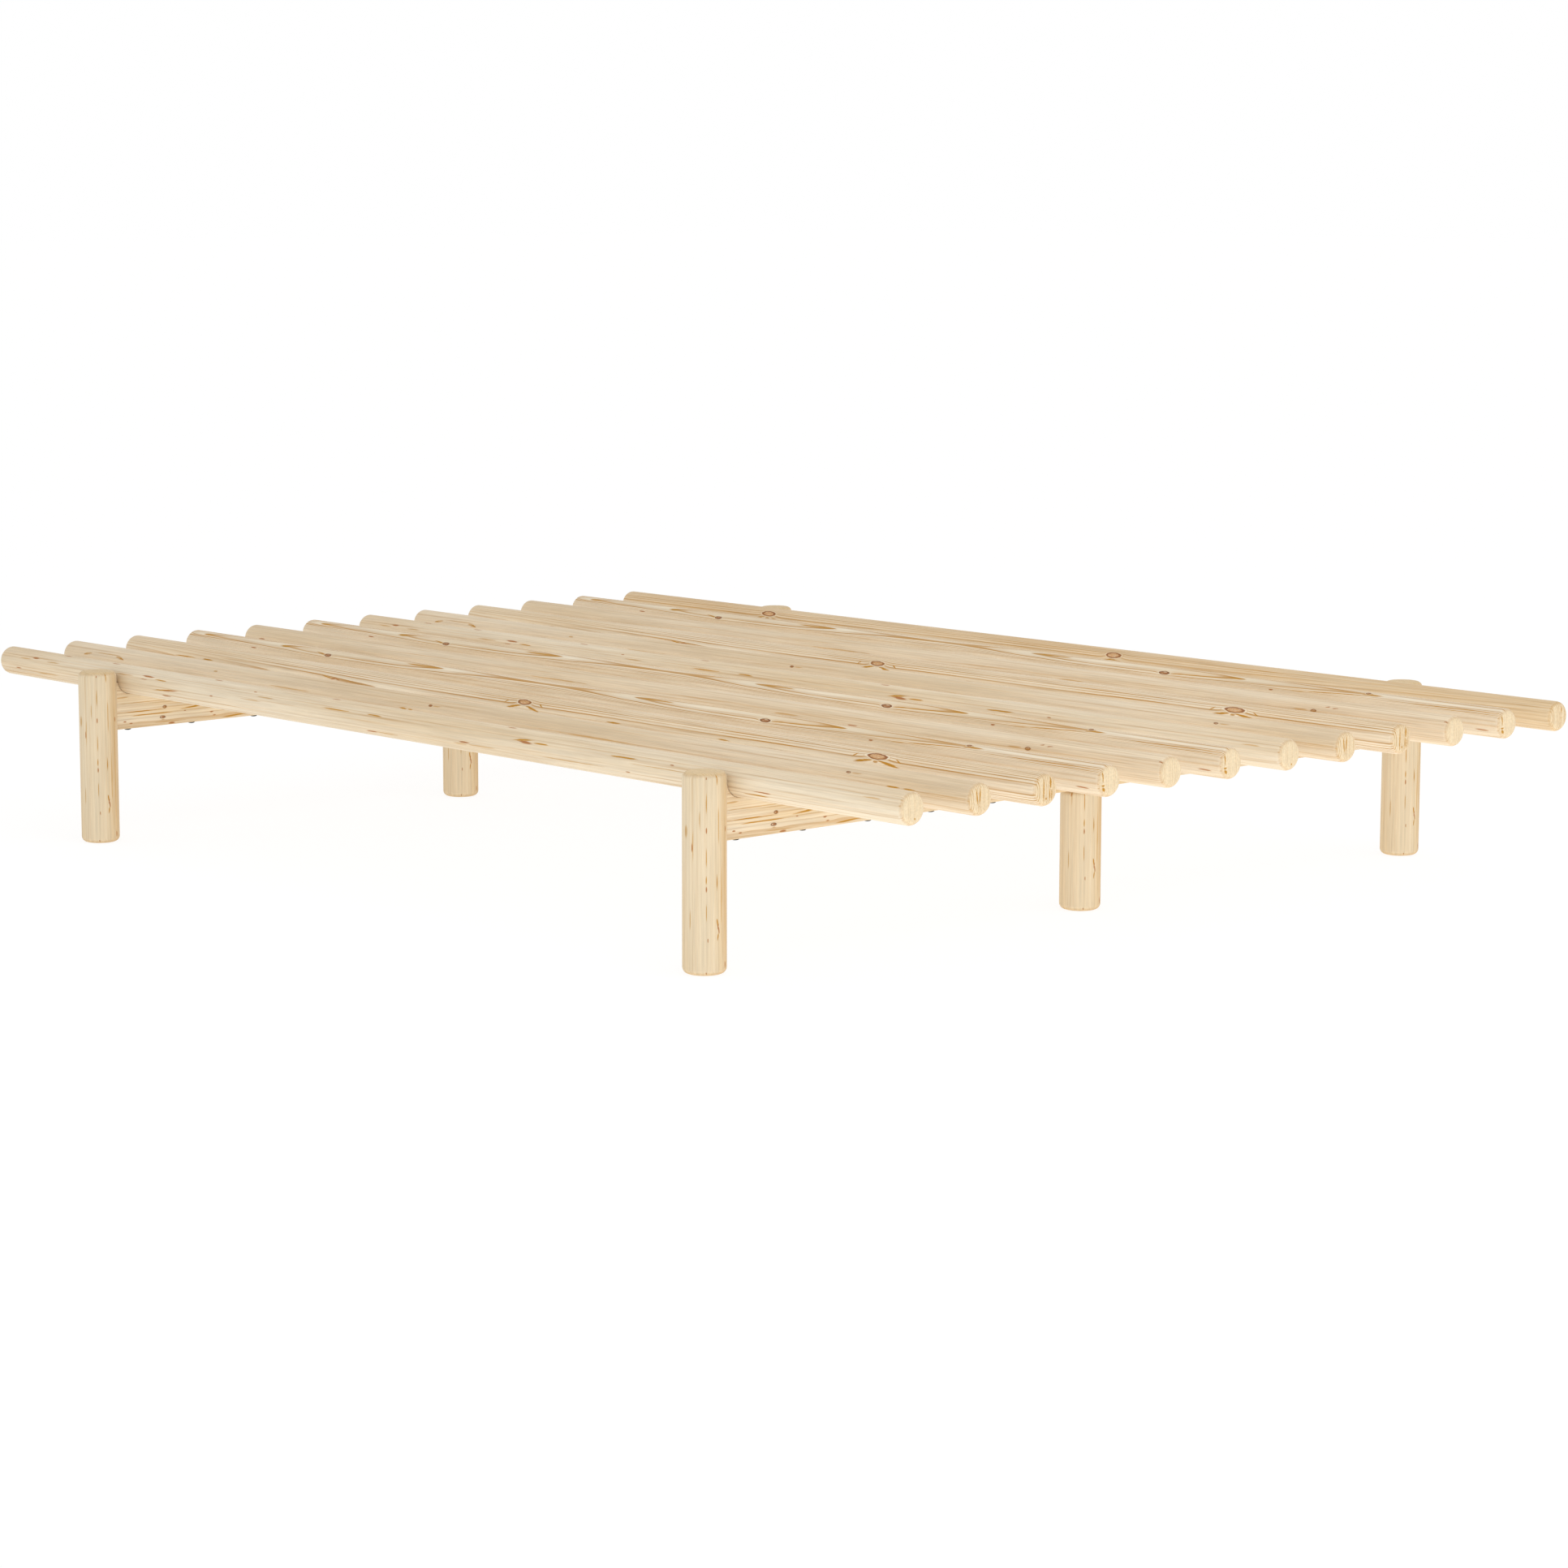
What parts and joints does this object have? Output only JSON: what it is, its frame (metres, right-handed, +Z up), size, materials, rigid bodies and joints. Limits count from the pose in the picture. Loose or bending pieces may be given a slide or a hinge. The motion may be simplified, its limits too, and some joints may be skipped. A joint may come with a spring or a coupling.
{
  "type": "pine bed frame",
  "caption": "Low pine bed frame: parallel round poles lie in the saddles of two cross beams, which stand on round legs at the corners and the middle.",
  "frame": {"origin": "on the floor, under the middle of the frame", "axes": "+X along the poles to the right, +Y across the poles to the rear, +Z up"},
  "size_m": [2, 1.41, 0.2598],
  "materials": {
    "pine_pole": "matte clear-coated pine with straight grain along the pole, orange growth lines and small brown knots",
    "pine_beam": "matte clear-coated pine, planed board with orange grain lines along its length",
    "pine_leg": "matte clear-coated pine, turned, grain upright",
    "black_steel": "black oxide, satin",
    "zinc_steel": "bright zinc plate"
  },
  "bodies": {
    "root": {"pole_01": "pine_pole", "pole_02": "pine_pole", "pole_03": "pine_pole", "pole_04": "pine_pole", "pole_05": "pine_pole", "pole_06": "pine_pole", "pole_07": "pine_pole", "pole_08": "pine_pole", "pole_09": "pine_pole", "pole_10": "pine_pole", "pole_11": "pine_pole", "pole_12": "pine_pole", "cross_beam_left": "pine_beam", "cross_beam_right": "pine_beam", "corner_leg_front_left": "pine_leg", "corner_leg_front_right": "pine_leg", "corner_leg_rear_left": "pine_leg", "corner_leg_rear_right": "pine_leg", "centre_leg_left": "pine_leg", "centre_leg_right": "pine_leg", "pole_screw_left_01": "black_steel", "pole_screw_left_02": "black_steel", "pole_screw_left_03": "black_steel", "pole_screw_left_04": "black_steel", "pole_screw_left_05": "black_steel", "pole_screw_left_06": "black_steel", "pole_screw_left_07": "black_steel", "pole_screw_left_08": "black_steel", "pole_screw_left_09": "black_steel", "pole_screw_left_10": "black_steel", "pole_screw_left_11": "black_steel", "pole_screw_left_12": "black_steel", "pole_screw_right_01": "black_steel", "pole_screw_right_02": "black_steel", "pole_screw_right_03": "black_steel", "pole_screw_right_04": "black_steel", "pole_screw_right_05": "black_steel", "pole_screw_right_06": "black_steel", "pole_screw_right_07": "black_steel", "pole_screw_right_08": "black_steel", "pole_screw_right_09": "black_steel", "pole_screw_right_10": "black_steel", "pole_screw_right_11": "black_steel", "pole_screw_right_12": "black_steel", "cam_bolt_front_left": "zinc_steel", "cam_bolt_front_right": "zinc_steel", "cam_bolt_rear_left": "zinc_steel", "cam_bolt_rear_right": "zinc_steel", "cam_barrel_front_left": "zinc_steel", "cam_barrel_front_right": "zinc_steel", "cam_barrel_rear_left": "zinc_steel", "cam_barrel_rear_right": "zinc_steel", "centre_stud_left": "zinc_steel", "centre_stud_right": "zinc_steel"}
  },
  "joints": []
}
